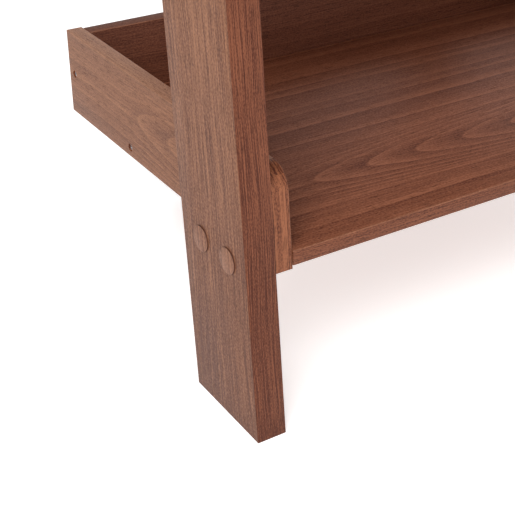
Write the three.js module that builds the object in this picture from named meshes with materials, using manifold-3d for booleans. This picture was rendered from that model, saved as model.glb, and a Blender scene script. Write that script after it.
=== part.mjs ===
// Luggage rack with a fixed lower tray and a slatted deck that folds up against a guard rail.
// Units are millimetres, +Z is up and the front is -Y. The origin is on the floor, under the box's middle.
import * as THREE from 'three';
import { mergeVertices } from 'three/addons/utils/BufferGeometryUtils.js';
import Module from 'manifold-3d';

const wasm = await Module();
wasm.setup();

// ---- Driving dimensions ------------------------------------------------------------------------
const WIDTH = 640;             // over the outer faces of the two legs
const GAP = 0.3;               // clearance between pieces that touch on the real rack
const LEG_THICK = 25;
const LEG_DEPTH = 91;          // level section, front to back
const RAKE = THREE.MathUtils.degToRad(6.4);
const BOARD_THICK = 15;        // side boards, backs and uprights
const PANEL_THICK = 12.5;      // tray bottom and front stretcher
const SIDE_HEIGHT = 77.8;
const SIDE_CORNER = 20;        // radius of a side board's front top corner
const SIDE_SETBACK = 1.8;      // a side board's front end behind the leg's front edge
const SIDE_REAR = 366;         // rear ends of the side boards, from the front of the feet
const BACK_INSET = 3.5;        // back boards in from the rear ends
const PANEL_LIFT = 2.2;        // tray bottom above the lower edge of its sides
const PANEL_SETBACK = 0.2;     // panel front edges behind the side boards' front ends
const TRAY_Z = 132.5;          // lower edge of the tray's sides
const RACK_TOP = 506;          // top of the legs and of the deck
const UPPER_Z = RACK_TOP - SIDE_HEIGHT;    // lower edge of the upper frame's sides
const STRETCHER_DEPTH = 90;
const EASE = 0.8;              // eased long edges of every board

const SLAT_COUNT = 6;
const SLAT_WIDTH = 38;
const SLAT_THICK = 12;
const DECK_FRONT = 72;         // front edge of the first slat
const DECK_REAR_GAP = 1;       // last slat to the back rail
const DECK_SIDE_GAP = 2;       // slat ends to the side boards
const BATTEN_WIDTH = 30;
const BATTEN_HEIGHT = 18;
const BATTEN_OFFSET = 235;     // outer battens from the middle
const BATTEN_INSET = 2;        // batten ends in from the deck's front and rear
const CLEAT_SIZE = 18;
const CLEAT_REACH = [80, 340]; // front and rear ends of a cleat

const UPRIGHT_OFFSET = 145;    // uprights from the middle
const UPRIGHT_WIDTH = 60;
const UPRIGHT_TOP = 600;
const GUARD_HEIGHT = 60;
const GUARD_THICK = 12;
const GUARD_HALF = 277;

const HINGE_OFFSET = 180;      // hinges from the middle
const HINGE_LENGTH = 60;
const LEAF_THICK = 1.6;
const FIXED_LEAF = 14;         // leaf widths, from the pin line
const MOVING_LEAF = 22;
const KNUCKLE_RADIUS = 3.2;
const PIN_RADIUS = 1.5;
const KNUCKLES = 3;
const KNUCKLE_TAB = 1.5;       // overlap of a knuckle's tab with its leaf
const PIN_HEAD = { radius: 2.2, thick: 0.9 };

const CAP_RADIUS = 10.4;
const CAP_RISE = 1;            // cover caps above the leg's outer face
const CAP_EASE = 0.2;
const CAP_STEM = { radius: 5.6, length: 3 };
const CAP_Y = [41, 79];        // cap centres at the height of the tray bottom
const CAP_DROP = 0.9;          // cap centres below the middle of the panel's edge
const BUTTON_RISE = 2;         // rubber bumpers above the wood
const BUTTON_EASE = 0.6;
const DECK_BUMPER_RADIUS = 5;
const GUARD_BUMPER_RADIUS = 6;
const GUARD_BUMPER_OFFSET = 225;
const SIDES = 8;               // facets round a screw or a hinge bore
const SMALL_ROUND = 14;        // facets round a knuckle or a bumper
const ROUND = 24;              // facets round a cap

// ---- Derived places ----------------------------------------------------------------------------
const lean = (z) => Math.tan(RAKE) * z;
const HALF = WIDTH / 2;
const SIDE_OUTER = HALF - LEG_THICK - GAP;
const SIDE_INNER = SIDE_OUTER - BOARD_THICK;
const BACK_REAR = SIDE_REAR - BACK_INSET;
const BACK_FRONT = BACK_REAR - BOARD_THICK;
const UPRIGHT_FRONT = BACK_REAR + GAP;
const DEPTH = UPRIGHT_FRONT + BOARD_THICK;
const TRAY_PANEL_Z = TRAY_Z + PANEL_LIFT;
const STRETCHER_Z = UPPER_Z + PANEL_LIFT;
const TRAY_PANEL_MIDDLE = TRAY_PANEL_Z + PANEL_THICK / 2;
const TRAY_CAP_Z = TRAY_PANEL_MIDDLE - CAP_DROP;
const UPPER_CAP_Z = TRAY_CAP_Z + UPPER_Z - TRAY_Z;
const DECK_HALF = SIDE_INNER - DECK_SIDE_GAP;
const DECK_REAR = BACK_FRONT - DECK_REAR_GAP;
const SLAT_PITCH = (DECK_REAR - DECK_FRONT - SLAT_WIDTH) / (SLAT_COUNT - 1);
const SLAT_Z = RACK_TOP - SLAT_THICK;
const BATTEN_TOP = SLAT_Z - GAP;
const CLEAT_TOP = SLAT_Z - GAP - BUTTON_RISE;
const PIN_Y = BACK_FRONT - DECK_REAR_GAP / 2;
const PIN_Z = RACK_TOP + GAP + KNUCKLE_RADIUS;

// ---- Finishes ----------------------------------------------------------------------------------
const finish = (color, roughness, metalness = 0) =>
  new THREE.MeshStandardMaterial({ color, roughness, metalness });
const WALNUT = finish(0x8c6250, 0.5);
const WALNUT_EDGE = finish(0x7c4f3c, 0.52);
const CAP_WALNUT = finish(0x94695a, 0.5);
const STEEL = finish(0xb9bbbd, 0.3, 1);
const NICKEL = finish(0xa8a49c, 0.28, 1);
const RUBBER = finish(0x2a2523, 0.85);

// ---- Solids ------------------------------------------------------------------------------------
const pieces = new Map();      // name -> { geometry, material, cutters }

function addPiece(name, geometry, material) {
  pieces.set(name, { geometry, material, cutters: [] });
}

function drill(names, cutter) {
  for (const name of names) pieces.get(name).cutters.push(cutter);
}

function cleaned(geometry) {
  const bare = geometry.index ? geometry.toNonIndexed() : geometry.clone();
  bare.deleteAttribute('normal');
  bare.deleteAttribute('uv');
  return mergeVertices(bare, 1e-4);
}

function toSolid(geometry) {
  const shape = cleaned(geometry);
  return new wasm.Manifold(new wasm.Mesh({
    numProp: 3,
    vertProperties: new Float32Array(shape.attributes.position.array),
    triVerts: new Uint32Array(shape.index.array),
  }));
}

function fromSolid(solid) {
  const mesh = solid.getMesh();
  const geometry = new THREE.BufferGeometry();
  geometry.setAttribute('position', new THREE.BufferAttribute(new Float32Array(mesh.vertProperties), 3));
  geometry.setIndex(new THREE.BufferAttribute(new Uint32Array(mesh.triVerts), 1));
  return geometry;
}

const cut = (geometry, cutters) =>
  fromSolid(cutters.reduce((solid, cutter) => solid.subtract(toSolid(cutter)), toSolid(geometry)));

const join = (first, ...others) =>
  fromSolid(others.reduce((solid, other) => solid.add(toSolid(other)), toSolid(first)));

// A board from a profile in the YZ plane, extruded along X between two planes, with eased edges.
function sideProfileBoard(outline, xLow, xHigh) {
  const thick = xHigh - xLow;
  const geometry = new THREE.ExtrudeGeometry(outline, {
    depth: thick - 2 * EASE, bevelEnabled: true, bevelThickness: EASE, bevelSize: EASE,
    bevelOffset: -EASE, bevelSegments: 1, curveSegments: 8,
  });
  // The extrusion runs along Z: turn profile (x, y) into (Y, Z) and the extrusion into X.
  geometry.applyMatrix4(new THREE.Matrix4().makeBasis(
    new THREE.Vector3(0, 1, 0), new THREE.Vector3(0, 0, 1), new THREE.Vector3(1, 0, 0)));
  return geometry.translate(xLow + EASE, 0, 0);
}

// A rectangular board with eased long edges, its length along X, Y or Z.
function board([x0, x1], [y0, y1], [z0, z1], along = 'X') {
  const [a0, a1] = along === 'Z' ? [x0, x1] : along === 'X' ? [y0, y1] : [x0, x1];
  const [b0, b1] = along === 'Z' ? [y0, y1] : [z0, z1];
  const [c0, c1] = along === 'Z' ? [z0, z1] : along === 'X' ? [x0, x1] : [y0, y1];
  const e = EASE;
  const outline = new THREE.Shape([
    new THREE.Vector2(a0 + e, b0), new THREE.Vector2(a1 - e, b0), new THREE.Vector2(a1, b0 + e),
    new THREE.Vector2(a1, b1 - e), new THREE.Vector2(a1 - e, b1), new THREE.Vector2(a0 + e, b1),
    new THREE.Vector2(a0, b1 - e), new THREE.Vector2(a0, b0 + e)]);
  const geometry = new THREE.ExtrudeGeometry(outline, { depth: c1 - c0, bevelEnabled: false });
  if (along === 'X') {
    geometry.applyMatrix4(new THREE.Matrix4().makeBasis(
      new THREE.Vector3(0, 1, 0), new THREE.Vector3(0, 0, 1), new THREE.Vector3(1, 0, 0)));
    return geometry.translate(c0, 0, 0);
  }
  if (along === 'Y') {
    geometry.applyMatrix4(new THREE.Matrix4().makeBasis(
      new THREE.Vector3(1, 0, 0), new THREE.Vector3(0, 0, 1), new THREE.Vector3(0, -1, 0)));
    return geometry.translate(0, c1, 0);
  }
  return geometry.translate(0, 0, c0);
}

// A turned solid from [radius, distance] pairs, starting at a point and running along a direction.
function turned(profile, at, direction, sides = SIDES) {
  const points = profile.map(([radius, distance]) => new THREE.Vector2(radius, distance));
  const geometry = new THREE.LatheGeometry(points, sides);
  const turn = new THREE.Quaternion().setFromUnitVectors(
    new THREE.Vector3(0, 1, 0), new THREE.Vector3(...direction));
  return geometry.applyQuaternion(turn).translate(...at);
}

const rod = (radius, length, at, direction, sides = SIDES) =>
  turned([[0, 0], [radius, 0], [radius, length], [0, length]], at, direction, sides);

// A wood screw with a flat head and a hexagon socket, head face first.
const SCREW = { head: 3.2, headLength: 2.4, shank: 1.9, socket: 1.5, socketDepth: 1.3 };
const LEG_SCREW = { head: 6, headLength: 3.2, shank: 3.4, socket: 2.3, socketDepth: 2 };

function screw(kind, length, at, direction) {
  const { head, headLength, shank, socket, socketDepth } = kind;
  const body = turned([[0, 0], [head, 0], [head, headLength], [shank, headLength],
    [shank, length - shank], [0, length]], at, direction);
  const back = at.map((value, axis) => value - direction[axis]);
  return cut(body, [rod(socket, socketDepth + 1, back, direction, 6)]);
}

function screwPocket(kind, length, at, direction, recess) {
  const { head, headLength, shank } = kind;
  const start = at.map((value, axis) => value - direction[axis] * (recess + 1));
  const drop = recess + 1;
  return turned([[0, 0], [head + GAP, 0], [head + GAP, drop + headLength + GAP],
    [shank + GAP, drop + headLength + GAP], [shank + GAP, drop + length + 1],
    [0, drop + length + 1]], start, direction);
}

// Pockets for screws, in the pieces that they pass through.
function drillScrews(kind, length, places) {
  for (const { at, direction, through, recess = 0 } of places) {
    drill(through, screwPocket(kind, length, at, direction, recess));
  }
}

function addScrews(name, kind, length, places) {
  places.forEach(({ at, direction }, index) => {
    addPiece(`${name}_${index + 1}`, screw(kind, length, at, direction), STEEL);
  });
  drillScrews(kind, length, places);
}

// ---- Legs, sides, panels -----------------------------------------------------------------------
function legOutline(top) {
  return new THREE.Shape([
    new THREE.Vector2(0, 0), new THREE.Vector2(LEG_DEPTH, 0),
    new THREE.Vector2(LEG_DEPTH + lean(top), top), new THREE.Vector2(lean(top), top)]);
}

// A side board: its front end leans with the leg and turns into the top edge through a quarter round.
function sideOutline(low) {
  const high = low + SIDE_HEIGHT;
  const front = lean(low) + SIDE_SETBACK;
  const centre = new THREE.Vector2(
    front + lean(SIDE_HEIGHT - SIDE_CORNER) + SIDE_CORNER / Math.cos(RAKE), high - SIDE_CORNER);
  const outline = new THREE.Shape();
  outline.moveTo(front, low);
  outline.lineTo(SIDE_REAR, low);
  outline.lineTo(SIDE_REAR, high);
  outline.lineTo(centre.x, high);
  outline.absarc(centre.x, centre.y, SIDE_CORNER, Math.PI / 2, Math.PI - RAKE, false);
  return outline;
}

const mirrored = (side, [low, high]) => (side < 0 ? [-high, -low] : [low, high]);
const HANDS = [['left', -1], ['right', 1]];

for (const [hand, side] of HANDS) {
  addPiece(`${hand}_leg`,
    sideProfileBoard(legOutline(RACK_TOP), ...mirrored(side, [HALF - LEG_THICK, HALF])), WALNUT);
  for (const [frame, low] of [['tray', TRAY_Z], ['upper', UPPER_Z]]) {
    addPiece(`${frame}_${hand}_side`,
      sideProfileBoard(sideOutline(low), ...mirrored(side, [SIDE_INNER, SIDE_OUTER])), WALNUT);
  }
}

const BETWEEN = [-SIDE_INNER + GAP, SIDE_INNER - GAP];
const TRAY_FRONT = lean(TRAY_Z) + SIDE_SETBACK + PANEL_SETBACK;
const STRETCHER_FRONT = lean(UPPER_Z) + SIDE_SETBACK + PANEL_SETBACK;
addPiece('tray_bottom',
  board(BETWEEN, [TRAY_FRONT, BACK_FRONT - GAP], [TRAY_PANEL_Z, TRAY_PANEL_Z + PANEL_THICK]), WALNUT);
addPiece('tray_back', board(BETWEEN, [BACK_FRONT, BACK_REAR], [TRAY_PANEL_Z, TRAY_Z + SIDE_HEIGHT]), WALNUT);
addPiece('front_stretcher', board(BETWEEN, [STRETCHER_FRONT, STRETCHER_FRONT + STRETCHER_DEPTH],
  [STRETCHER_Z, STRETCHER_Z + PANEL_THICK]), WALNUT);
addPiece('back_rail', board(BETWEEN, [BACK_FRONT, BACK_REAR], [STRETCHER_Z, RACK_TOP]), WALNUT);

// ---- Uprights and guard rail -------------------------------------------------------------------
for (const [hand, side] of HANDS) {
  const middle = side * UPRIGHT_OFFSET;
  addPiece(`${hand}_upright`, board([middle - UPRIGHT_WIDTH / 2, middle + UPRIGHT_WIDTH / 2],
    [UPRIGHT_FRONT, DEPTH], [0, UPRIGHT_TOP], 'Z'), WALNUT);
}
const GUARD_FRONT = BACK_REAR - GUARD_THICK;
addPiece('guard_rail', board([-GUARD_HALF, GUARD_HALF], [GUARD_FRONT, BACK_REAR],
  [UPRIGHT_TOP - GUARD_HEIGHT, UPRIGHT_TOP]), WALNUT);

// ---- Deck --------------------------------------------------------------------------------------
const slatFront = (index) => DECK_FRONT + index * SLAT_PITCH;
const slatNames = [];
for (let index = 0; index < SLAT_COUNT; index += 1) {
  const name = `deck_slat_${index + 1}`;
  slatNames.push(name);
  addPiece(name, board([-DECK_HALF, DECK_HALF], [slatFront(index), slatFront(index) + SLAT_WIDTH],
    [SLAT_Z, RACK_TOP]), WALNUT);
}
const BATTENS = [['left', -BATTEN_OFFSET], ['middle', 0], ['right', BATTEN_OFFSET]];
for (const [place, middle] of BATTENS) {
  addPiece(`deck_${place}_batten`, board([middle - BATTEN_WIDTH / 2, middle + BATTEN_WIDTH / 2],
    [DECK_FRONT + BATTEN_INSET, DECK_REAR - BATTEN_INSET],
    [BATTEN_TOP - BATTEN_HEIGHT, BATTEN_TOP], 'Y'), WALNUT_EDGE);
}
for (const [hand, side] of HANDS) {
  const across = mirrored(side, [SIDE_INNER - GAP - CLEAT_SIZE, SIDE_INNER - GAP]);
  addPiece(`${hand}_cleat`,
    board(across, CLEAT_REACH, [CLEAT_TOP - CLEAT_SIZE, CLEAT_TOP], 'Y'), WALNUT_EDGE);
}

// ---- Hinges ------------------------------------------------------------------------------------
// One leaf carries the odd knuckles and the other the even ones; the pin runs through them all.
function hingeLeaf(middle, towards, width, first) {
  const pitch = HINGE_LENGTH / KNUCKLES;
  const leafStart = PIN_Y + towards * (KNUCKLE_RADIUS + GAP);
  const leafEnd = PIN_Y + towards * width;
  const floor = RACK_TOP + GAP;
  const plate = new THREE.BoxGeometry(HINGE_LENGTH, Math.abs(leafEnd - leafStart), LEAF_THICK)
    .translate(middle, (leafStart + leafEnd) / 2, floor + LEAF_THICK / 2);
  const barrels = [];
  for (let index = first; index < KNUCKLES; index += 2) {
    const length = pitch - GAP;
    const start = middle - HINGE_LENGTH / 2 + index * pitch + GAP / 2;
    const barrel = rod(KNUCKLE_RADIUS, length, [start, PIN_Y, PIN_Z], [1, 0, 0], SMALL_ROUND);
    const reach = KNUCKLE_RADIUS + KNUCKLE_TAB;
    const tab = new THREE.BoxGeometry(length, reach, LEAF_THICK)
      .translate(start + length / 2, PIN_Y + towards * reach / 2, floor + LEAF_THICK / 2);
    barrels.push(barrel, tab);
  }
  const boreStart = [middle - HINGE_LENGTH / 2 - 1, PIN_Y, PIN_Z];
  const bore = rod(PIN_RADIUS + GAP, HINGE_LENGTH + 2, boreStart, [1, 0, 0]);
  return cut(join(plate, ...barrels), [bore]);
}

function hingePin(middle) {
  const { radius, thick } = PIN_HEAD;
  const start = middle - HINGE_LENGTH / 2 - thick - GAP;
  const far = HINGE_LENGTH + thick + 2 * GAP;
  return turned([[0, 0], [radius, 0], [radius, thick], [PIN_RADIUS, thick], [PIN_RADIUS, far],
    [radius, far], [radius, far + thick], [0, far + thick]], [start, PIN_Y, PIN_Z], [1, 0, 0]);
}

const HINGE_SCREW = { head: 2.9, headLength: 0.5, shank: 1.4, socket: 1.1, socketDepth: 0.9 };
const HINGE_SCREW_SPREAD = 20;
const HINGE_SCREW_SINK = 0.1;
const FIXED_SCREW_INSET = 5;   // screws in from the leaves' free edges
const MOVING_SCREW_INSET = 8;
for (const [hand, side] of HANDS) {
  const middle = side * HINGE_OFFSET;
  addPiece(`${hand}_hinge_fixed_leaf`, hingeLeaf(middle, 1, FIXED_LEAF, 0), NICKEL);
  addPiece(`${hand}_hinge_moving_leaf`, hingeLeaf(middle, -1, MOVING_LEAF, 1), NICKEL);
  addPiece(`${hand}_hinge_pin`, hingePin(middle), STEEL);
  const down = [0, 0, -1];
  const top = RACK_TOP + GAP + LEAF_THICK - HINGE_SCREW_SINK;
  const row = (y, through) => [-1, 0, 1].map((step) => (
    { at: [middle + step * HINGE_SCREW_SPREAD, y, top], direction: down, through }));
  drillScrews(HINGE_SCREW, LEAF_THICK,
    row(PIN_Y + FIXED_LEAF - FIXED_SCREW_INSET, [`${hand}_hinge_fixed_leaf`]));
  drillScrews(HINGE_SCREW, LEAF_THICK,
    row(PIN_Y - MOVING_LEAF + MOVING_SCREW_INSET, [`${hand}_hinge_moving_leaf`]));
}

// ---- Leg screws and caps -----------------------------------------------------------------------
// A cap is a thin disc on the leg's face, held by a stem in the screw's counterbore.
const LEG_SCREW_LENGTH = 68;
const LEG_SCREW_SINK = CAP_STEM.length + 1;
const legRows = [
  { z: TRAY_CAP_Z, shift: 0, frame: 'tray', panel: 'tray_bottom' },
  { z: UPPER_CAP_Z, shift: lean(UPPER_Z - TRAY_Z), frame: 'upper', panel: 'front_stretcher' }];
for (const [hand, side] of HANDS) {
  const inward = [-side, 0, 0];
  const places = legRows.flatMap(({ z, shift, frame, panel }) => CAP_Y.map((y) => (
    { y: y + shift, z, through: [`${hand}_leg`, `${frame}_${hand}_side`, panel] })));
  addScrews(`${hand}_leg_screw`, LEG_SCREW, LEG_SCREW_LENGTH, places.map(({ y, z, through }) => (
    { at: [side * (HALF - LEG_SCREW_SINK), y, z], direction: inward, through, recess: LEG_SCREW_SINK })));
  places.forEach(({ y, z }, index) => {
    const disc = CAP_RISE - GAP;
    addPiece(`${hand}_leg_cap_${index + 1}`, turned([[0, 0], [CAP_RADIUS - CAP_EASE, 0],
      [CAP_RADIUS, CAP_EASE], [CAP_RADIUS, disc], [CAP_STEM.radius, disc],
      [CAP_STEM.radius, CAP_RISE + CAP_STEM.length], [0, CAP_RISE + CAP_STEM.length]],
    [side * (HALF + CAP_RISE), y, z], inward, ROUND), CAP_WALNUT);
  });
}

// ---- Screws through the side boards, cleats and uprights ---------------------------------------
const SIDE_SCREW_LENGTH = 45;
const SIDE_SCREW_RECESS = 1.2;
const SCREW_RECESS = 0.4;
const PANEL_SCREW_Y = 246.5;   // the screw into the tray bottom, from the front of the feet
const CLEAT_SCREW_Y = [110, 210, 310];
const BACK_SCREW_RISE = [20, 56];    // above the lower edges of the side boards
const GUARD_SCREW_DROP = [45, 15];   // below the tops of the uprights
const UPRIGHT_SCREW_Z = [
  ...[TRAY_Z, UPPER_Z].flatMap((low) => BACK_SCREW_RISE.map((rise) => low + rise)),
  ...GUARD_SCREW_DROP.map((drop) => UPRIGHT_TOP - drop)];
const BACK_MIDDLE = (BACK_FRONT + BACK_REAR) / 2;
for (const [hand, side] of HANDS) {
  const inward = [-side, 0, 0];
  const face = side * (SIDE_OUTER - SIDE_SCREW_RECESS);
  addScrews(`${hand}_side_screw`, SCREW, SIDE_SCREW_LENGTH, [
    { at: [face, BACK_MIDDLE, TRAY_Z + SIDE_HEIGHT / 2], through: [`tray_${hand}_side`, 'tray_back'] },
    { at: [face, PANEL_SCREW_Y, TRAY_PANEL_MIDDLE], through: [`tray_${hand}_side`, 'tray_bottom'] },
    { at: [face, BACK_MIDDLE, UPPER_Z + SIDE_HEIGHT / 2], through: [`upper_${hand}_side`, 'back_rail'] },
  ].map((place) => ({ ...place, direction: inward, recess: SIDE_SCREW_RECESS })));

  const cleatFace = side * (SIDE_INNER - GAP - CLEAT_SIZE + SCREW_RECESS);
  drillScrews(SCREW, CLEAT_SIZE, CLEAT_SCREW_Y.map((y) => ({
    at: [cleatFace, y, CLEAT_TOP - CLEAT_SIZE / 2], direction: [side, 0, 0],
    through: [`${hand}_cleat`], recess: SCREW_RECESS })));

  drillScrews(SCREW, BOARD_THICK, UPRIGHT_SCREW_Z.map((z) => ({
    at: [side * UPRIGHT_OFFSET, DEPTH - SCREW_RECESS, z], direction: [0, -1, 0],
    through: [`${hand}_upright`], recess: SCREW_RECESS })));
}

// Slat screws come up through the battens.
drillScrews(SCREW, BATTEN_HEIGHT, BATTENS.flatMap(([place, middle]) => slatNames.map((_, index) => ({
  at: [middle, slatFront(index) + SLAT_WIDTH / 2, BATTEN_TOP - BATTEN_HEIGHT + SCREW_RECESS],
  direction: [0, 0, 1], through: [`deck_${place}_batten`], recess: SCREW_RECESS }))));

// ---- Rubber bumpers ----------------------------------------------------------------------------
// A button with a stem that is pushed into the wood.
const STEM = { radius: 2, length: 7 };
function addBumpers(name, radius, places) {
  const button = BUTTON_RISE - GAP;
  const end = BUTTON_RISE + STEM.length;
  places.forEach(({ at, direction, into }, index) => {
    addPiece(`${name}_${index + 1}`, turned([[0, 0], [radius - BUTTON_EASE, 0], [radius, BUTTON_EASE],
      [radius, button], [STEM.radius, button], [STEM.radius, end], [0, end]],
    at, direction, SMALL_ROUND), RUBBER);
    drill([into], rod(STEM.radius + GAP, end + 1, at, direction, SMALL_ROUND));
  });
}
const bumpedSlats = [0, SLAT_COUNT - 2];
addBumpers('deck_bumper', DECK_BUMPER_RADIUS, HANDS.flatMap(([hand, side]) => bumpedSlats.map((index) => {
  const across = side * (SIDE_INNER - GAP - CLEAT_SIZE / 2);
  const at = [across, slatFront(index) + SLAT_WIDTH / 2, CLEAT_TOP + BUTTON_RISE];
  return { at, direction: [0, 0, -1], into: `${hand}_cleat` };
})));
addBumpers('guard_bumper', GUARD_BUMPER_RADIUS, HANDS.map(([, side]) => ({
  at: [side * GUARD_BUMPER_OFFSET, GUARD_FRONT - BUTTON_RISE, UPRIGHT_TOP - GUARD_HEIGHT / 2],
  direction: [0, 1, 0], into: 'guard_rail' })));

// ---- Scene graph -------------------------------------------------------------------------------
const rack = new THREE.Group();
rack.position.y = -DEPTH / 2;
for (const [name, { geometry, material, cutters }] of pieces) {
  const shape = cutters.length ? cut(geometry, cutters) : cleaned(geometry);
  const mesh = new THREE.Mesh(shape, material);
  mesh.name = name;
  rack.add(mesh);
}

export default rack;
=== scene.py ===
"""Looks of the folding luggage rack: walnut-grain boards, caps, screws, hinges and bumpers."""
import math
import random

import bmesh
import bpy
from mathutils import Matrix, Vector


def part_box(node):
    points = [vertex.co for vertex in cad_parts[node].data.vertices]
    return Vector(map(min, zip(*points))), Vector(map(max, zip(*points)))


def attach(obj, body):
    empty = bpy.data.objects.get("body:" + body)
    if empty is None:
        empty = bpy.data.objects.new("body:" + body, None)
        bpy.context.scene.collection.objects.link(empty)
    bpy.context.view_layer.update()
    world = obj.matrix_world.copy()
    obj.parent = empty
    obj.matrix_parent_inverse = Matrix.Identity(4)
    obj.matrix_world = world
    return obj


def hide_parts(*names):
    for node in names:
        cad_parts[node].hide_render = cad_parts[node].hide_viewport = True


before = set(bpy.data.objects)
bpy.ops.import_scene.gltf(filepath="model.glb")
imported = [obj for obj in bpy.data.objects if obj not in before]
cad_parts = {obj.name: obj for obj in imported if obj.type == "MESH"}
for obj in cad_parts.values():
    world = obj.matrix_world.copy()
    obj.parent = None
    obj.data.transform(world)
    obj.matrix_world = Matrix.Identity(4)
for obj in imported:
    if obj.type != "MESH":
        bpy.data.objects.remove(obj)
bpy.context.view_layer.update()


def numbered(name, count):
    """The names of a repeated node or piece, which end in 1 to count."""
    return [f"{name}_{index}" for index in range(1, count + 1)]


# ---- Driving dimensions, in metres, the same as the CAD model's where it has them ---------------
RAKE = math.radians(6.4)        # lean of the legs and of the side boards' front ends
LEG_DEPTH = 0.091
SIDE_CORNER = 0.020             # radius of a side board's front top corner
EASE = 0.0005                   # rounding of a board's edges
TRAY_EASE = 0.0008              # and of the tray bottom's
GAP = 0.0003                    # between a piece and the hole that it sits in
CLEAR = 0.001                   # how far outside a face its cutters start

CAP_RADIUS = 0.0104
CAP_STEM = 0.0056               # radius
CAP_EASE = 0.00015
CAP_BORE_RADIUS = 0.0062
CAP_BORE_DEPTH = 0.004

SCREW_HEAD = 0.0032             # radius
SCREW_LENGTH = 0.025
SCREW_SEAT = 0.0031             # depth of the seat, from the head's face
SCREW_RECESS = 0.0004           # of a head's face below the board's
SIDE_SCREW_RECESS = 0.0012
UPRIGHT_SCREWS = (0.1525, 0.1885, 0.4482, 0.4842, 0.555, 0.585)    # heights
CLEAT_SCREWS = (0.110, 0.210, 0.310)    # behind the front of the feet

HINGE_LENGTH = 0.060
LEAF_THICK = 0.0016
LEAF_CORNER = 0.0035            # radius of a leaf's free corners
LEAF_EASE = 0.0003
KNUCKLES = 3
KNUCKLE_RADIUS = 0.0032
KNUCKLE_EASE = 0.0004
KNUCKLE_TAB = 0.0015            # how far a knuckle's tab reaches past it, into the leaf
TAB_SINK = 0.00002              # of a tab's faces below the leaf's
TAB_EASE = 0.0001
PIN_RADIUS = 0.0015
PIN_HEAD = 0.0009               # thickness
PIN_DOME = 0.0005               # height of the head's rounded rim
HINGE_SCREW_HEAD = 0.0029       # radius
HINGE_SCREW_LENGTH = 0.011
HINGE_SCREW_SPREAD = 0.020      # between a leaf's screws
HINGE_SCREW_SINK = 0.0001
HINGE_SEAT_GAP = 0.0002
HINGE_SEAT_DEPTH = 0.0004       # of the seat's straight part
HINGE_HOLE_DEPTH = 0.003
FIXED_SCREW_INSET = 0.005       # screws in from the leaves' free edges
MOVING_SCREW_INSET = 0.008

BUMPER_RISE = 0.0017            # height of a bumper's button
BUMPER_DOME = 0.0007            # height of its rounded rim
BUMPER_FLAT = 0.55              # radius of its flat top, against its own
BUMPER_STEM = 0.002             # radius

TRAY_ARCH = (0.081, 0.085)      # first arch tip of the tray bottom's grain, from its left front corner
SIDE_ARCH = (0.208, 0.042)      # first arch tip of a side board's grain, from its front lower corner

SLATS = numbered("deck_slat", 6)
PLAIN_SLATS = (SLATS[1], SLATS[4])      # slats with straight grain
BATTENS = ("left", "middle", "right")
HANDS = (("left", -1), ("right", 1))
FRAME_BODY = "rack_frame"
DECK_BODY = "deck"
ALONG_X, ALONG_Y, ALONG_Z = Vector((1, 0, 0)), Vector((0, 1, 0)), Vector((0, 0, 1))
ALONG_LEG = Vector((0, math.sin(RAKE), math.cos(RAKE)))
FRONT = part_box("left_leg")[0].y


# ---- Camera and lights --------------------------------------------------------------------------
# The camera stands in front of the left leg, above it and to its left. Its place is counted from the
# foot's outer front corner.
CAMERA_FROM_FOOT = Vector((-0.3602, -0.5783, 0.5669))
CAMERA_TURN = math.radians(31.9)
CAMERA_DIP = math.radians(30.65)
CAMERA_ROLL = math.radians(-0.16)
CAMERA_LENS = 81.2              # millimetres
CAMERA_SENSOR = 36              # millimetres
LIGHTS_AIM = (0, 0, 0.2)
WORLD_LOW, WORLD_HIGH = 0.9, 0.48      # brightness of the studio's walls and of its ceiling
WALL_TOP, CEILING = 0.1, 0.6    # where the first ends and the second starts, as heights on a unit sphere


def make_camera():
    data = bpy.data.cameras.new("camera")
    data.lens = CAMERA_LENS
    data.sensor_width = CAMERA_SENSOR
    camera = bpy.data.objects.new("camera", data)
    bpy.context.collection.objects.link(camera)
    place = Matrix.Translation(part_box("left_leg")[0] + CAMERA_FROM_FOOT)
    turn = Matrix.Rotation(-CAMERA_TURN, 4, "Z") @ Matrix.Rotation(math.pi / 2 - CAMERA_DIP, 4, "X")
    camera.matrix_world = place @ turn @ Matrix.Rotation(CAMERA_ROLL, 4, "Z")
    bpy.context.scene.camera = camera


def area_light(name, place, size, power):
    data = bpy.data.lights.new(name, "AREA")
    data.shape = "RECTANGLE"
    data.size, data.size_y = size
    data.energy = power
    light = bpy.data.objects.new(name, data)
    light.location = place
    light.rotation_euler = (Vector(LIGHTS_AIM) - Vector(place)).to_track_quat("-Z", "Y").to_euler()
    bpy.context.collection.objects.link(light)


def make_lights():
    area_light("key_light", place=(-1.7, -1.4, 2.1), size=(1.3, 1.3), power=46)
    area_light("front_light", place=(0.2, -2.8, 1.3), size=(2.2, 1.4), power=11)
    area_light("back_light", place=(1.5, 1.65, 1.55), size=(1.0, 0.7), power=7)


def make_world():
    """A white studio whose walls are brighter than its ceiling, shown in its plain colours."""
    world = bpy.data.worlds.new("studio")
    world.use_nodes = True
    tree = world.node_tree
    place = tree.nodes.new("ShaderNodeTexCoord")
    parts = tree.nodes.new("ShaderNodeSeparateXYZ")
    height = tree.nodes.new("ShaderNodeMapRange")
    for socket, value in zip(height.inputs[1:], (WALL_TOP, CEILING, WORLD_LOW, WORLD_HIGH)):
        socket.default_value = value
    tree.links.new(place.outputs["Generated"], parts.inputs[0])
    tree.links.new(parts.outputs["Z"], height.inputs[0])
    background = tree.nodes["Background"]
    background.inputs["Color"].default_value = (1, 1, 1, 1)
    tree.links.new(height.outputs[0], background.inputs["Strength"])
    bpy.context.scene.world = world
    bpy.context.scene.view_settings.view_transform = "Standard"


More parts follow.
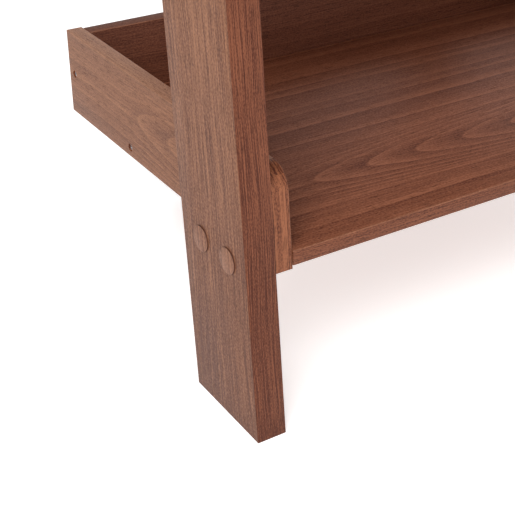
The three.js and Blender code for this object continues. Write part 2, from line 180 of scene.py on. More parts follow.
# ---- Materials ----------------------------------------------------------------------------------
GRAIN_MAP = "grain"             # UV map: first along the grain, then across it, in metres
ARCH_PITCH = 0.052              # between the tips of the grain's arches
ARCH_SPREAD = 0.00032           # how fast an arch opens: its half width squared, per arch
ARCH_REACH = 0.030              # half width of the arched figure
ARCH_FADE = 1.9                 # where the figure has faded out, against its half width
OBJECT_PLACE = 3                # output of a Texture Coordinate node: the place on the object


class Nodes:
    """Adds shader nodes to one material, each with its inputs set or linked by name."""

    def __init__(self, name):
        self.material = bpy.data.materials.new(name)
        self.material.use_nodes = True
        self.tree = self.material.node_tree
        self.shader = self.tree.nodes["Principled BSDF"]

    def put(self, socket, value):
        if isinstance(value, bpy.types.NodeSocket):
            self.tree.links.new(value, socket)
        else:
            socket.default_value = value

    def add(self, kind, output=0, settings=None, **inputs):
        node = self.tree.nodes.new("ShaderNode" + kind)
        for key, value in (settings or {}).items():
            setattr(node, key, value)
        for key, value in inputs.items():
            self.put(node.inputs[key.replace("_", " ")], value)
        return node.outputs[output]

    def math(self, operation, *values, clamp=False):
        node = self.tree.nodes.new("ShaderNodeMath")
        node.operation = operation
        node.use_clamp = clamp
        for socket, value in zip(node.inputs, values):
            self.put(socket, value)
        return node.outputs[0]

    def centred(self, value, amount):
        """A value that varies around a half, made to vary around zero by an amount."""
        return self.math("MULTIPLY", self.math("SUBTRACT", value, 0.5), amount)

    def above(self, value, level, gain):
        """How far a value is above a level, from 0 to 1."""
        return self.math("MULTIPLY", self.math("SUBTRACT", value, level), gain, clamp=True)

    def ramp(self, factor, stops):
        node = self.tree.nodes.new("ShaderNodeValToRGB")
        elements = node.color_ramp.elements
        while len(elements) < len(stops):
            elements.new(0.5)
        for element, (position, colour) in zip(elements, stops):
            element.position = position
            element.color = (*colour, 1)
        self.put(node.inputs["Fac"], factor)
        return node.outputs["Color"]

    def noise(self, u, v, along, across, seed, detail=2.0):
        """Noise with its own scale along and across the grain, in features per metre."""
        place = self.add("CombineXYZ", X=self.math("MULTIPLY", u, along),
                         Y=self.math("MULTIPLY", v, across), Z=seed)
        return self.add("TexNoise", Vector=place, Scale=1.0, Detail=detail, Roughness=0.5)

    def blend(self, factor, first, second):
        """A mix of two colours, each a socket or three numbers."""
        node = self.tree.nodes.new("ShaderNodeMix")
        node.data_type = "RGBA"
        node.blend_type = "MIX"
        self.put(node.inputs[0], factor)
        for socket, colour in ((node.inputs[6], first), (node.inputs[7], second)):
            self.put(socket, (*colour, 1) if isinstance(colour, tuple) else colour)
        return node.outputs[2]

    def bump(self, height, distance, strength):
        return self.add("Bump", Height=height, Distance=distance, Strength=strength)

    def finish(self, **inputs):
        for key, value in inputs.items():
            self.put(self.shader.inputs[key.replace("_", " ")], value)
        return self.material


def times(colour, factor):
    return tuple(factor * part for part in colour)


def ring_shade(n, phase):
    """A thin dark line once a turn, then a thin pale one and a pale band that fades."""
    stops = ((0.0, 0.78), (0.4, 0.5), (0.7, 0.44), (0.83, 0.30), (0.90, 0.45), (0.95, 1.0), (1.0, 0.78))
    return n.ramp(n.math("FRACT", phase), [(position, (shade,) * 3) for position, shade in stops])


def arch_shade(n, u, v, wander, arches):
    """The shade of the arches, and how much of it shows: all near v = 0 from the first tip on."""
    bend = n.math("ADD", n.math("MULTIPLY", wander, 0.25), v)
    along = n.math("ADD", u, n.centred(n.noise(u, v, 9, 9, 4.0), 0.03))
    cone = n.math("SUBTRACT", n.math("DIVIDE", along, ARCH_PITCH),
                  n.math("DIVIDE", n.math("MULTIPLY", bend, bend), ARCH_SPREAD))
    near = n.math("SUBTRACT", ARCH_FADE, n.math("DIVIDE", n.math("ABSOLUTE", v), ARCH_REACH), clamp=True)
    begun = n.math("MULTIPLY_ADD", u, 30.0, 1.0, clamp=True)
    return n.centred(ring_shade(n, cone), arches), n.math("MULTIPLY", near, begun)


def walnut(name, tone, fibre=0.0011, streaks=1.4, pores=1.6, lines=0.35, line_pitch=0.016, arches=0.0,
           painted_shade_drift=0.0, roughness=0.48, gloss=0.35, wear_and_highlight=0.0):
    """Walnut grain: long streaks, short pores, wavy growth lines, and arches where a cone is cut flat.

    A fibre is that wide, and growth lines are line_pitch apart, both in metres. Streaks, pores, lines,
    arches and the pale patches on eased edges, partly worn and partly painted highlight, are strengths. The
    tone's
    slope along the grain is painted shade: the wood is drawn that much paler per metre of length, so that
    legs and uprights get darker towards the floor."""
    dark, middle, light = tone
    n = Nodes(name)
    parts = n.tree.nodes.new("ShaderNodeSeparateXYZ")
    n.put(parts.inputs[0], n.add("UVMap", settings={"uv_map": GRAIN_MAP}))
    u, v = parts.outputs["X"], parts.outputs["Y"]
    wander = n.math("ADD", n.centred(n.noise(u, v, 2.2, 9, 1.0), 0.030),
                    n.centred(n.noise(u, v, 14, 50, 2.0), 0.0035))
    across = n.math("ADD", v, wander)

    spacing = n.centred(n.noise(0.0, v, 1, 24, 3.0), 0.05)
    rings = n.math("DIVIDE", n.math("ADD", across, spacing), line_pitch)
    shade = n.centred(ring_shade(n, rings), lines)
    if arches:
        arched, shown = arch_shade(n, u, v, wander, arches)
        shade = n.math("ADD", n.math("MULTIPLY", shade, n.math("SUBTRACT", 1.0, shown)),
                       n.math("MULTIPLY", arched, shown))
    strength = n.math("MAXIMUM", 0.25, n.math("MULTIPLY_ADD", n.noise(u, v, 3, 18, 5.0), 2.6, -0.35))
    shade = n.math("MULTIPLY", shade, strength)

    long_streaks = n.centred(n.noise(u, across, 12, 1.1 / fibre, 6.0), streaks)
    short_pores = n.centred(n.noise(u, across, 500, 1 / fibre, 7.0, detail=1), pores)
    # Clouds of tone at random, plus painted shade: a slope along the grain that darkens legs and uprights
    # towards the floor.
    clouds = n.math("ADD", n.centred(n.noise(u, v, 1.6, 26, 8.0, detail=3), 0.7),
                    n.math("MULTIPLY", u, painted_shade_drift))
    fibres = n.math("ADD", n.math("ADD", long_streaks, clouds), short_pores)
    tone_here = n.math("ADD", n.math("ADD", 0.5, shade), fibres)
    colour = n.ramp(tone_here, [(0.0, dark), (0.5, middle), (1.0, light)])

    slits = n.above(n.noise(u, across, 80, 1500, 9.0, detail=1), 0.56, 8.0)
    colour = n.blend(n.math("MULTIPLY", slits, 0.6), colour, times(dark, 0.5))
    # Paler patches on the edges: partly worn wood, partly painted highlight.
    if wear_and_highlight:
        rubbed_and_highlit = n.above(n.noise(u, v, 45, 160, 10.0, detail=4), 0.52, 7.0)
        colour = n.blend(n.math("MULTIPLY", rubbed_and_highlit, wear_and_highlight), colour, times(light, 1.35))
    surface = n.math("SUBTRACT", n.math("ADD", short_pores, n.math("MULTIPLY", long_streaks, 0.4)), slits)
    rough = n.math("ADD", roughness,
                   n.math("ADD", n.math("MULTIPLY", slits, 0.12), n.centred(short_pores, -0.1)))
    return n.finish(Base_Color=colour, Roughness=rough, Specular_IOR_Level=gloss,
                    Normal=n.bump(surface, 0.0001, 0.6))


def metal(name, colour, roughness, scratched):
    """Plated steel: fine scratches one way, and slightly cloudy plating."""
    n = Nodes(name)
    place = n.add("TexCoord", output=OBJECT_PLACE)
    stretch = n.add("Mapping", Vector=place, Scale=(900, 900, 60))
    scratches = n.add("TexNoise", Vector=stretch, Scale=1.0, Detail=3.0)
    clouds = n.add("TexNoise", Vector=place, Scale=240.0, Detail=3.0)
    shade = n.blend(n.math("MULTIPLY", clouds, 0.35), colour, times(colour, 0.72))
    rough = n.math("ADD", roughness, n.centred(n.math("ADD", scratches, clouds), 0.12))
    return n.finish(Base_Color=shade, Metallic=1.0, Roughness=rough,
                    Normal=n.bump(scratches, 0.00003, scratched))


def rubber(name, colour):
    """Black rubber: fine grit, and dust in patches."""
    n = Nodes(name)
    place = n.add("TexCoord", output=OBJECT_PLACE)
    grit = n.add("TexNoise", Vector=place, Scale=1800.0, Detail=3.0)
    dust = n.add("TexNoise", Vector=place, Scale=160.0, Detail=4.0)
    shade = n.blend(n.math("MULTIPLY", dust, 0.5), colour, times(colour, 1.9))
    return n.finish(Base_Color=shade, Roughness=n.math("MULTIPLY_ADD", grit, 0.2, 0.7),
                    Normal=n.bump(grit, 0.00005, 0.6))


def pale_floor(name):
    n = Nodes(name)
    place = n.add("TexCoord", output=OBJECT_PLACE)
    mottle = n.add("TexNoise", Vector=place, Scale=3.0, Detail=3.0)
    shade = n.blend(mottle, (0.93, 0.93, 0.925), (0.97, 0.97, 0.967))
    return n.finish(Base_Color=shade, Roughness=0.8, Specular_IOR_Level=0.2,
                    Emission_Color=(1, 1, 1, 1), Emission_Strength=0.5)


DARK_DROP = (0.50, 0.62, 0.66)  # red, green and blue of the dark colour, below the middle one's
LIGHT_RISE = (0.46, 0.62, 0.70) # and of the light colour, above them


def toned(red, green, blue, contrast=1.0):
    """Dark, middle and light colours of one walnut; the dark is redder and the light is paler."""
    middle = (red, green, blue)
    dark = tuple(part * (1 - contrast * drop) for part, drop in zip(middle, DARK_DROP))
    light = tuple(part * (1 + contrast * rise) for part, rise in zip(middle, LIGHT_RISE))
    return dark, middle, light


# The legs' and uprights' walnut carries painted shade: it is drawn darker towards the floor.
LEG_FACE = walnut("walnut_leg_face", toned(0.206, 0.080, 0.037), fibre=0.0016, streaks=2.3, pores=1.5,
                  lines=0.25, painted_shade_drift=1.3, gloss=0.28)
LEG_BAND = walnut("walnut_leg_band", toned(0.142, 0.041, 0.018), fibre=0.0007, streaks=4.0, pores=1.9,
                  lines=0.15, line_pitch=0.006, painted_shade_drift=1.0, gloss=0.2)
SIDE_FACE = walnut("walnut_side_face", toned(0.205, 0.079, 0.036), fibre=0.0013, streaks=1.0, pores=1.2,
                   lines=0.5, arches=0.8, gloss=0.28)
# The side boards' top edges are drawn paler than their faces: painted light, as if light fell on the top
# edge.
SIDE_TOP_PAINTED_LIGHT = walnut("walnut_side_top", toned(0.335, 0.145, 0.073), fibre=0.0013, streaks=1.0, pores=1.2,
                  lines=0.35, gloss=0.4)
END_BAND = walnut("walnut_end_band", toned(0.178, 0.054, 0.022, 1.1), fibre=0.0012, streaks=3.2, pores=1.7,
                  lines=1.2, line_pitch=0.007, gloss=0.25)
TRAY_FACE = walnut("walnut_tray_face", toned(0.200, 0.064, 0.031), fibre=0.0012, streaks=1.3, pores=1.5,
                   lines=1.2, line_pitch=0.022, arches=1.4, gloss=0.14)
BACK_FACE = walnut("walnut_back_face", toned(0.12, 0.036, 0.018), lines=0.4, gloss=0.2)
FRONT_BAND = walnut("walnut_front_band", toned(0.143, 0.042, 0.018), streaks=1.8, pores=1.8, lines=0.3,
                    line_pitch=0.005, gloss=0.25)
SLAT_FACE = walnut("walnut_slat_face", toned(0.19, 0.070, 0.034), lines=0.6, arches=0.9, gloss=0.3)
PLAIN_FACE = walnut("walnut_plain_face", toned(0.18, 0.064, 0.031), streaks=1.7, lines=0.7,
                    line_pitch=0.011, gloss=0.3)
# The eased edges are drawn paler than the bands beside them, with paler patches: partly worn edges, partly
# painted highlight along the edges.
ARRIS = walnut("walnut_arris", toned(0.22, 0.080, 0.039), lines=0.1, roughness=0.42, gloss=0.3, wear_and_highlight=0.35)
CAP_FACE = walnut("walnut_cap_face", toned(0.215, 0.086, 0.043), fibre=0.0016, streaks=3.0, pores=1.3,
                  lines=0.3, line_pitch=0.004)
# The caps' rims are drawn near-black brown, darker than the bands: painted shade, the dark line round each
# cap.
CAP_RIM_PAINTED_SHADE = walnut("walnut_cap_rim_painted_shade", toned(0.10, 0.033, 0.017), lines=0.1, roughness=0.4)
ZINC = metal("zinc_steel", (0.72, 0.73, 0.75), roughness=0.24, scratched=0.4)
NICKEL = metal("hinge_nickel", (0.62, 0.59, 0.54), roughness=0.30, scratched=0.7)
RUBBER = rubber("rubber", (0.022, 0.019, 0.018))


# ---- Mesh helpers -------------------------------------------------------------------------------
FINE_ROUND = 96                 # sides of a turned shape, by its size
KNUCKLE_ROUND = 56
ROUND = 48
SMALL_ROUND = 40
SHARP = math.radians(30)        # edges sharper than this are eased


def new_object(name, mesh):
    piece = bpy.data.objects.new(name, mesh)
    bpy.context.collection.objects.link(piece)
    return piece


def mesh_of(bm, name):
    mesh = bpy.data.meshes.new(name)
    bmesh.ops.recalc_face_normals(bm, faces=bm.faces)
    bm.to_mesh(mesh)
    bm.free()
    return mesh


def plane_axes(axis):
    """The two other axes, in order, for an outline that is extruded along axis 0, 1 or 2."""
    return {0: (1, 2), 1: (0, 2), 2: (0, 1)}[axis]


def prism(outline, axis, low, high, ease):
    """A bmesh of an outline extruded along an axis from low to high, with rounded edges."""
    bm = bmesh.new()
    first, second = plane_axes(axis)
    loops = []
    for level in (low, high):
        loop = []
        for a, b in outline:
            place = [0.0, 0.0, 0.0]
            place[axis], place[first], place[second] = level, a, b
            loop.append(bm.verts.new(place))
        loops.append(loop)
    bm.faces.new(loops[0])
    bm.faces.new(reversed(loops[1]))
    count = len(outline)
    for index in range(count):
        after = (index + 1) % count
        bm.faces.new((loops[0][index], loops[1][index], loops[1][after], loops[0][after]))
    bmesh.ops.recalc_face_normals(bm, faces=bm.faces)
    sharp = [edge for edge in bm.edges if edge.calc_face_angle(0) > SHARP]
    bmesh.ops.bevel(bm, geom=sharp, offset=ease, segments=3, profile=0.5, affect="EDGES", clamp_overlap=True)
    return bm


def turned(profile, at, direction, sides):
    """A bmesh turned from (radius, distance) pairs; the first and last lie on the axis."""
    bm = bmesh.new()
    turn = Vector((0, 0, 1)).rotation_difference(Vector(direction)).to_matrix()
    angles = [2 * math.pi * step / sides for step in range(sides)]
    rings = []
    for radius, distance in profile:
        ring = [(radius * math.cos(a), radius * math.sin(a)) for a in angles] if radius else [(0, 0)]
        rings.append([bm.verts.new(turn @ Vector((*place, distance)) + Vector(at)) for place in ring])
    for inner, outer in zip(rings, rings[1:]):
        for step in range(sides):
            after = (step + 1) % sides
            corners = [inner[step % len(inner)], outer[step % len(outer)],
                       outer[after % len(outer)], inner[after % len(inner)]]
            bm.faces.new(list(dict.fromkeys(corners)))
    bmesh.ops.recalc_face_normals(bm, faces=bm.faces)
    return bm


def rod(radius, start, direction, length, sides):
    return turned([(0, 0), (radius, 0), (radius, length), (0, length)], start, direction, sides)


def merged(parts):
    """One bmesh from several."""
    whole = bmesh.new()
    for bm in parts:
        mesh = bpy.data.meshes.new("part")
        bm.to_mesh(mesh)
        bm.free()
        whole.from_mesh(mesh)
        bpy.data.meshes.remove(mesh)
    return whole


def combine(piece, parts, operation):
    """Joins closed bmeshes to a piece (UNION), or cuts them out of it (DIFFERENCE)."""
    if not parts:
        return
    tool = new_object("tool", mesh_of(merged(parts), "tool"))
    modifier = piece.modifiers.new("combine", "BOOLEAN")
    modifier.operation = operation
    modifier.solver = "EXACT"
    modifier.use_self = operation == "UNION"
    modifier.object = tool
    bpy.context.view_layer.update()
    depsgraph = bpy.context.evaluated_depsgraph_get()
    result = bpy.data.meshes.new_from_object(piece.evaluated_get(depsgraph))
    if not result.polygons:
        raise ValueError(f"{operation} left nothing of {piece.name}")
    piece.modifiers.clear()
    piece.data = result
    bpy.data.objects.remove(tool)


def smooth(piece, angle):
    """Smooth shading, but for the edges sharper than an angle in degrees."""
    mesh = piece.data
    for polygon in mesh.polygons:
        polygon.use_smooth = True
    bm = bmesh.new()
    bm.from_mesh(mesh)
    for edge in bm.edges:
        edge.smooth = edge.calc_face_angle(math.pi) < math.radians(angle)
    bm.to_mesh(mesh)
    bm.free()


TIP_ALONG = (-0.6, 0.2)         # first arch tip from a board's middle, against its length
TIP_ASIDE = 0.35                # and at most this far to a side, against its width
END_GRAIN = 0.7                 # faces that point along the grain by more than this are ends
END_SHIFT = (1, 4)              # across the grain, so that ends have a figure of their own


def lay_grain(piece, along, rim_along, seed, tip=None):
    """UV map of the grain, which runs along the board, and along the rim on its ends.

    The arches start at tip, a place in the frame, or by chance near one end of the board."""
    mesh = piece.data
    layer = mesh.uv_layers.new(name=GRAIN_MAP)
    chance = random.Random(seed)
    low, high = Vector(piece.bound_box[0]), Vector(piece.bound_box[6])
    if tip is None:
        length = abs((high - low).dot(along))
        tip = (low + high) / 2 + along * length * chance.uniform(*TIP_ALONG)
        aside = Vector([chance.uniform(-TIP_ASIDE, TIP_ASIDE) * size for size in high - low])
        tip += aside - along * aside.dot(along)
    for polygon in mesh.polygons:
        normal = polygon.normal
        end = abs(normal.dot(along)) > END_GRAIN
        line = rim_along if end else along
        line = (line - normal * line.dot(normal)).normalized()
        side = normal.cross(line)
        shift = random.Random(f"{seed} end").uniform(*END_SHIFT) if end else 0
        for loop in polygon.loop_indices:
            place = mesh.vertices[mesh.loops[loop].vertex_index].co - Vector(tip)
            layer.data[loop].uv = (place.dot(line), place.dot(side) + shift)


# Parts of a polygon's normal, which tell a board's surfaces apart.
FLAT = 0.995                    # least part across the board, on its two faces
SLOPED = 0.2                    # least part across the board on its eased edges, or upwards on a crown
LEVEL = 0.02                    # most part to the front or rear, on a crown


def skin(piece, thin, face, band, arris, crown=None):
    """Faces across the thickness get the face material, the rim the band, and the eased edges the arris.

    A crown, if given, covers the level top edge and its eased edges."""
    mesh = piece.data
    mesh.materials.clear()
    for material in (face, band, arris, crown or band):
        mesh.materials.append(material)
    for polygon in mesh.polygons:
        across = abs(polygon.normal[thin])
        if across > FLAT:
            polygon.material_index = 0
        elif crown and polygon.normal.z > SLOPED and abs(polygon.normal.y) < LEVEL:
            polygon.material_index = 3
        else:
            polygon.material_index = 2 if across > SLOPED else 1


def place_piece(piece, body, nodes=()):
    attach(piece, body)
    if nodes:
        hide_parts(*nodes)


def finish_part(piece, material, body, nodes, angle=30):
    """Shades a piece of one material and puts it in place."""
    smooth(piece, angle)
    piece.data.materials.append(material)
    place_piece(piece, body, nodes)


# ---- Places on the CAD nodes --------------------------------------------------------------------
def middle_of(node):
    low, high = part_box(node)
    return (low + high) / 2


def face_x(node, side):
    """The X of a node's left face, side -1, or of its right face, side 1."""
    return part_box(node)[0 if side < 0 else 1].x


def face_middle(node, side):
    middle = middle_of(node)
    return Vector((face_x(node, side), middle.y, middle.z))


def length_x(node):
    return face_x(node, 1) - face_x(node, -1)


# ---- Boards -------------------------------------------------------------------------------------
CORNER_STEPS = 28               # of a side board's round corner
SCREW_PLACES = []               # (name, kind, place, direction, body) of each screw to make


def rectangle(low, high, axis):
    first, second = plane_axes(axis)
    return [(low[first], low[second]), (high[first], low[second]), (high[first], high[second]),
            (low[first], high[second])]


def leg_outline(low, high):
    return [(low.y, low.z), (low.y + LEG_DEPTH, low.z), (high.y, high.z), (high.y - LEG_DEPTH, high.z)]


def side_outline(low, high):
    height = high.z - low.z
    centre_y = low.y + math.tan(RAKE) * (height - SIDE_CORNER) + SIDE_CORNER / math.cos(RAKE)
    centre_z = high.z - SIDE_CORNER
    outline = [(low.y, low.z), (high.y, low.z), (high.y, high.z)]
    for step in range(CORNER_STEPS + 1):
        angle = math.pi / 2 + (math.pi / 2 - RAKE) * step / CORNER_STEPS
        outline.append((centre_y + SIDE_CORNER * math.cos(angle), centre_z + SIDE_CORNER * math.sin(angle)))
    return outline


def screw_seat(at, direction, recess):
    """Cutter for the seat of a screw whose head's face is at a place, open at the board's face."""
    start = Vector(at) - Vector(direction) * (recess + CLEAR)
    return rod(SCREW_HEAD + GAP, start, direction, recess + CLEAR + SCREW_SEAT, SMALL_ROUND)


def add_screws(name, places, direction, body):
    """Notes the wood screws to make, and returns the cutters for their seats."""
    cutters = []
    for index, at in enumerate(places):
        SCREW_PLACES.append((f"{name}_{index + 1}", "wood", Vector(at), Vector(direction), body))
        cutters.append(screw_seat(at, direction, SCREW_RECESS))
    return cutters


def board(node, body, outline, axis, along, rim_along, face, band, cutters=(), slot="walnut", arris=ARRIS,
          crown=None, tip=None, ease=EASE):
    """The visible board for a CAD node: an outline extruded along its thin axis."""
    low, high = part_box(node)
    piece = new_object(f"{node}_board", mesh_of(prism(outline, axis, low[axis], high[axis], ease), node))
    combine(piece, cutters, "DIFFERENCE")
    skin(piece, axis, face, band, arris, crown)
    lay_grain(piece, along, rim_along, node, tip)
    smooth(piece, angle=35)
    place_piece(piece, body, [node])


def flat_board(node, body, axis, along, rim_along, face, band, cutters=(), **looks):
    low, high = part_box(node)
    board(node, body, rectangle(low, high, axis), axis, along, rim_along, face, band, cutters, **looks)


def make_leg(hand, side):
    node = f"{hand}_leg"
    bores = []
    for cap in numbered(f"{hand}_leg_cap", 4):
        middle = middle_of(cap)
        start = (face_x(node, side) + side * CLEAR, middle.y, middle.z)
        bores.append(rod(CAP_BORE_RADIUS, start, (-side, 0, 0), CLEAR + CAP_BORE_DEPTH, ROUND))
    board(node, FRAME_BODY, leg_outline(*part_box(node)), 0, ALONG_LEG, ALONG_Y, LEG_FACE, LEG_BAND, bores,
          arris=LEG_BAND)


def make_side(node, side, screws):
    """A side board, with seats for the screws that are CAD nodes of their own."""
    low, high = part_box(node)
    seats = [screw_seat(face_middle(screw, side), (-side, 0, 0), SIDE_SCREW_RECESS) for screw in screws]
    # The crown, the level top edge, gets the paler walnut: painted light on the top edge.
    board(node, FRAME_BODY, side_outline(low, high), 0, -ALONG_Y, ALONG_Z, SIDE_FACE, END_BAND, seats,
          crown=SIDE_TOP_PAINTED_LIGHT, tip=(face_x(node, side), low.y + SIDE_ARCH[0], low.z + SIDE_ARCH[1]))


def make_legs_and_sides():
    for hand, side in HANDS:
        make_leg(hand, side)
        screws = numbered(f"{hand}_side_screw", 3)
        make_side(f"tray_{hand}_side", side, screws[:2])
        make_side(f"upper_{hand}_side", side, screws[2:])


def make_panels():
    low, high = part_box("tray_bottom")
    tip = (low.x + TRAY_ARCH[0], low.y + TRAY_ARCH[1], high.z)
    flat_board("tray_bottom", FRAME_BODY, 2, ALONG_X, ALONG_Y, TRAY_FACE, FRONT_BAND, tip=tip,
               ease=TRAY_EASE)
    flat_board("tray_back", FRAME_BODY, 1, ALONG_X, ALONG_Z, BACK_FACE, FRONT_BAND)
    flat_board("front_stretcher", FRAME_BODY, 2, ALONG_X, ALONG_Y, SLAT_FACE, FRONT_BAND)
    flat_board("back_rail", FRAME_BODY, 1, ALONG_X, ALONG_Z, SLAT_FACE, FRONT_BAND)
    flat_board("guard_rail", FRAME_BODY, 1, ALONG_X, ALONG_Z, SLAT_FACE, FRONT_BAND)


def make_uprights_and_cleats():
    for hand, side in HANDS:
        node = f"{hand}_upright"
        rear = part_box(node)[1].y - SCREW_RECESS
        places = [(middle_of(node).x, rear, z) for z in UPRIGHT_SCREWS]
        flat_board(node, FRAME_BODY, 1, ALONG_Z, ALONG_X, LEG_FACE, LEG_BAND,
                   add_screws(f"{hand}_upright_screw", places, (0, -1, 0), FRAME_BODY))
        node = f"{hand}_cleat"
        inner = face_x(node, -side) + side * SCREW_RECESS
        places = [(inner, FRONT + y, middle_of(node).z) for y in CLEAT_SCREWS]
        flat_board(node, FRAME_BODY, 2, ALONG_Y, ALONG_X, LEG_BAND, LEG_BAND,
                   add_screws(f"{hand}_cleat_screw", places, (side, 0, 0), FRAME_BODY), slot="batten_walnut")


def make_deck():
    """Slats on battens. The slats' grain runs to the left and to the right by turns."""
    for index, node in enumerate(SLATS):
        along = ALONG_X if index % 2 else -ALONG_X
        face = PLAIN_FACE if node in PLAIN_SLATS else SLAT_FACE
        flat_board(node, DECK_BODY, 2, along, ALONG_Y, face, FRONT_BAND)
    for place in BATTENS:
        node = f"deck_{place}_batten"
        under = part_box(node)[0].z + SCREW_RECESS
        places = [(middle_of(node).x, middle_of(slat).y, under) for slat in SLATS]
        flat_board(node, DECK_BODY, 2, ALONG_Y, ALONG_X, LEG_BAND, LEG_BAND,
                   add_screws(f"deck_{place}_screw", places, (0, 0, 1), DECK_BODY), slot="batten_walnut")


# ---- Hinges -------------------------------------------------------------------------------------
SHANK = 0.55                    # radius of a screw's shank, against its head's
LEAF_CORNER_STEPS = 8


def rounded_plate(low, high, round_side):
    """Outline of a hinge leaf in X and Y, its two free corners rounded."""
    outline = []
    for (right, rear), start in (((-1, -1), 180), ((1, -1), 270), ((1, 1), 0), ((-1, 1), 90)):
        x = high.x - LEAF_CORNER if right > 0 else low.x + LEAF_CORNER
        y = high.y - LEAF_CORNER if rear > 0 else low.y + LEAF_CORNER
        if rear != round_side:
            outline.append((x + right * LEAF_CORNER, y + rear * LEAF_CORNER))
            continue
        for step in range(LEAF_CORNER_STEPS + 1):
            angle = math.radians(start + 90 * step / LEAF_CORNER_STEPS)
            outline.append((x + LEAF_CORNER * math.cos(angle), y + LEAF_CORNER * math.sin(angle)))
    return outline


def knuckle(start, width, pin, towards, low, high):
    """A knuckle's barrel, and the tab that joins it to its leaf between the heights low and high."""
    profile = [(0, 0), (KNUCKLE_RADIUS - KNUCKLE_EASE, 0), (KNUCKLE_RADIUS, KNUCKLE_EASE),
               (KNUCKLE_RADIUS, width - KNUCKLE_EASE), (KNUCKLE_RADIUS - KNUCKLE_EASE, width), (0, width)]
    barrel = turned(profile, (start, pin.y, pin.z), (1, 0, 0), KNUCKLE_ROUND)
    near, far = sorted((pin.y, pin.y + towards * (KNUCKLE_RADIUS + KNUCKLE_TAB)))
    tab = [(start, near), (start + width, near), (start + width, far), (start, far)]
    return [barrel, prism(tab, 2, low + TAB_SINK, high - TAB_SINK, TAB_EASE)]


def hinge_leaf(node, pin, towards, first, screw_inset, body, screw_name):
    """A hinge leaf: a thin plate with rounded free corners, its knuckles, and three countersunk holes."""
    low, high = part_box(node)
    left = pin.x - HINGE_LENGTH / 2
    near = pin.y + towards * (KNUCKLE_RADIUS + GAP)
    far = high.y if towards > 0 else low.y
    plate_low = Vector((left, min(near, far), low.z))
    plate_high = Vector((left + HINGE_LENGTH, max(near, far), low.z + LEAF_THICK))
    outline = rounded_plate(plate_low, plate_high, towards)
    plate = prism(outline, 2, plate_low.z, plate_high.z, LEAF_EASE)
    piece = new_object(f"{node}_plate", mesh_of(plate, node))
    pitch = HINGE_LENGTH / KNUCKLES
    knuckles = []
    for index in range(first, KNUCKLES, 2):
        start = left + index * pitch + GAP / 2
        knuckles += knuckle(start, pitch - GAP, pin, towards, plate_low.z, plate_high.z)
    combine(piece, knuckles, "UNION")
    row, top = far - towards * screw_inset, plate_high.z - HINGE_SCREW_SINK
    places = [(pin.x + step * HINGE_SCREW_SPREAD, row, top) for step in (-1, 0, 1)]
    seat = HINGE_SCREW_HEAD + HINGE_SEAT_GAP
    profile = [(0, -CLEAR), (seat, -CLEAR), (seat, HINGE_SEAT_DEPTH), (seat * SHANK, HINGE_HOLE_DEPTH),
               (0, HINGE_HOLE_DEPTH)]
    holes = [turned(profile, place, (0, 0, -1), SMALL_ROUND) for place in places]
    start = (left - CLEAR, pin.y, pin.z)
    bore = rod(PIN_RADIUS + GAP, start, (1, 0, 0), HINGE_LENGTH + 2 * CLEAR, SMALL_ROUND)
    combine(piece, [bore, *holes], "DIFFERENCE")
    for index, place in enumerate(places):
        SCREW_PLACES.append((f"{screw_name}_{index + 1}", "hinge", Vector(place), Vector((0, 0, -1)), body))
    finish_part(piece, NICKEL, body, [node])


def hinge_pin(node):
    """A pin with a head at both ends."""
    low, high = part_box(node)
    length = high.x - low.x
    head = (high.z - low.z) / 2
    end = [(0, 0), (head * 0.6, PIN_DOME / 5), (head, PIN_DOME), (head, PIN_HEAD), (PIN_RADIUS, PIN_HEAD)]
    profile = end + [(radius, length - distance) for radius, distance in reversed(end)]
    piece = new_object(f"{node}_fine",
                       mesh_of(turned(profile, face_middle(node, -1), (1, 0, 0), SMALL_ROUND), node))
    finish_part(piece, ZINC, FRAME_BODY, [node])


def make_hinges():
    for hand, _ in HANDS:
        pin = middle_of(f"{hand}_hinge_pin")
        hinge_leaf(f"{hand}_hinge_fixed_leaf", pin, 1, 0, FIXED_SCREW_INSET, FRAME_BODY,
                   f"{hand}_hinge_rail_screw")
        hinge_leaf(f"{hand}_hinge_moving_leaf", pin, -1, 1, MOVING_SCREW_INSET, DECK_BODY,
                   f"{hand}_hinge_deck_screw")
        hinge_pin(f"{hand}_hinge_pin")


# ---- Caps, screws and bumpers -------------------------------------------------------------------
DRAFT = 100                     # screws are cut at this scale, where the solver is at its best
SLOT = 1.15                     # length of a recess's slot, against the head's radius
SLOT_SHAPE = (1, 0.22, 0.6, 1)  # its length, width and height, against its length
SPIN_SEED = 7
SPIN = 3                        # most turn of a screw's recess, in radians


def make_caps():
    for hand, side in HANDS:
        for node in numbered(f"{hand}_leg_cap", 4):
            rise = abs(face_x(node, side) - face_x(f"{hand}_leg", side))
            length = length_x(node)
            profile = [(0, 0), (CAP_RADIUS - CAP_EASE, 0), (CAP_RADIUS - CAP_EASE * 0.3, CAP_EASE * 0.3),
                       (CAP_RADIUS, CAP_EASE), (CAP_RADIUS, rise), (CAP_STEM, rise), (CAP_STEM, length),
                       (0, length)]
            piece = new_object(f"{node}_disc", mesh_of(
                turned(profile, face_middle(node, side), (-side, 0, 0), FINE_ROUND), node))
            # The rim and its eased edge get the dark walnut: painted shade round the cap.
            skin(piece, 0, CAP_FACE, CAP_RIM_PAINTED_SHADE, CAP_RIM_PAINTED_SHADE)
            lay_grain(piece, ALONG_LEG, ALONG_Y, node)
            smooth(piece, angle=30)
            place_piece(piece, FRAME_BODY, [node])


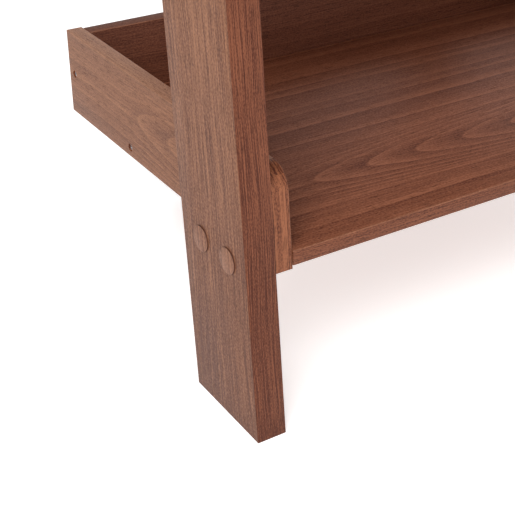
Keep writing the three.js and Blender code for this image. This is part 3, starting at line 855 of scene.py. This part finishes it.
def screw_template(head, length):
    """Mesh of a countersunk wood screw with a cross recess, its head's face at the origin, pointing up."""
    # Every size but the length goes with the head's radius.
    shank = head * SHANK
    rim = head * 0.06
    profile = [(0, 0), (head * 0.6, 0), (head - rim, rim * 0.4), (head, rim), (head, head * 0.3),
               (shank, head * 0.8), (shank, length - head), (0, length)]
    large = [(radius * DRAFT, distance * DRAFT) for radius, distance in profile]
    piece = new_object("template", mesh_of(turned(large, (0, 0, 0), (0, 0, 1), SMALL_ROUND), "template"))
    for angle in (0, math.pi / 2):
        slot = bmesh.new()
        bmesh.ops.create_cube(slot, size=head * SLOT * DRAFT,
                              matrix=Matrix.Rotation(angle, 4, "Z") @ Matrix.Diagonal(SLOT_SHAPE))
        combine(piece, [slot], "DIFFERENCE")
    piece.data.transform(Matrix.Scale(1 / DRAFT, 4))
    smooth(piece, angle=30)
    mesh = piece.data
    mesh.materials.append(ZINC)
    bpy.data.objects.remove(piece)
    return mesh


def screw_piece(name, template, at, direction, spin):
    """A copy of a screw template with its head's face at a place, turned about its own axis."""
    mesh = template.copy()
    turn = Vector((0, 0, 1)).rotation_difference(Vector(direction)).to_matrix().to_4x4()
    mesh.transform(Matrix.Translation(at) @ turn @ Matrix.Rotation(spin, 4, "Z"))
    return new_object(name, mesh)


def make_screws():
    chance = random.Random(SPIN_SEED)
    templates = {"wood": screw_template(SCREW_HEAD, SCREW_LENGTH),
                 "hinge": screw_template(HINGE_SCREW_HEAD, HINGE_SCREW_LENGTH),
                 "side": screw_template(SCREW_HEAD, length_x("left_side_screw_1"))}
    for name, kind, at, direction, body in SCREW_PLACES:
        piece = screw_piece(name, templates[kind], at, direction, chance.uniform(0, SPIN))
        place_piece(piece, body)
    for hand, side in HANDS:
        for node in numbered(f"{hand}_side_screw", 3):
            piece = screw_piece(f"{node}_fine", templates["side"], face_middle(node, side), (-side, 0, 0),
                                chance.uniform(0, SPIN))
            place_piece(piece, FRAME_BODY, [node])


def finish_leg_screws():
    """The screws under the caps keep their CAD shape and get the zinc finish."""
    for hand, _ in HANDS:
        for node in numbered(f"{hand}_leg_screw", 4):
            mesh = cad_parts[node].data
            mesh.materials.clear()
            mesh.materials.append(ZINC)


def make_bumper(node, axis, sign):
    """A rubber button with a rounded rim, on a stem. Its top faces along the axis, or back if sign is -1."""
    low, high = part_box(node)
    radius = (high.x - low.x) / 2
    length = high[axis] - low[axis]
    top = middle_of(node)
    top[axis] = high[axis] if sign > 0 else low[axis]
    direction = [0, 0, 0]
    direction[axis] = -sign
    profile = [(0, 0)]
    for angle in (math.radians(30 * step) for step in range(4)):
        profile.append((radius * (BUMPER_FLAT + (1 - BUMPER_FLAT) * math.sin(angle)),
                        BUMPER_DOME * (1 - math.cos(angle))))
    profile += [(radius, BUMPER_RISE), (BUMPER_STEM, BUMPER_RISE), (BUMPER_STEM, length), (0, length)]
    piece = new_object(f"{node}_dome", mesh_of(turned(profile, top, direction, ROUND), node))
    finish_part(piece, RUBBER, FRAME_BODY, [node], angle=40)


def make_bumpers():
    for node in numbered("deck_bumper", 4):
        make_bumper(node, 2, 1)
    for node in numbered("guard_bumper", 2):
        make_bumper(node, 1, -1)


# ---- Floor --------------------------------------------------------------------------------------
FLOOR_REACH = 6                 # from its middle to each side
FLOOR_CELLS = 8


def make_floor():
    bm = bmesh.new()
    bmesh.ops.create_grid(bm, x_segments=FLOOR_CELLS, y_segments=FLOOR_CELLS, size=FLOOR_REACH)
    floor = new_object("floor", mesh_of(bm, "floor"))
    floor.data.materials.append(pale_floor("pale_floor"))


make_camera()
make_lights()
make_world()
make_legs_and_sides()
make_panels()
make_uprights_and_cleats()
make_deck()
make_hinges()
make_caps()
make_screws()
make_bumpers()
finish_leg_screws()
make_floor()
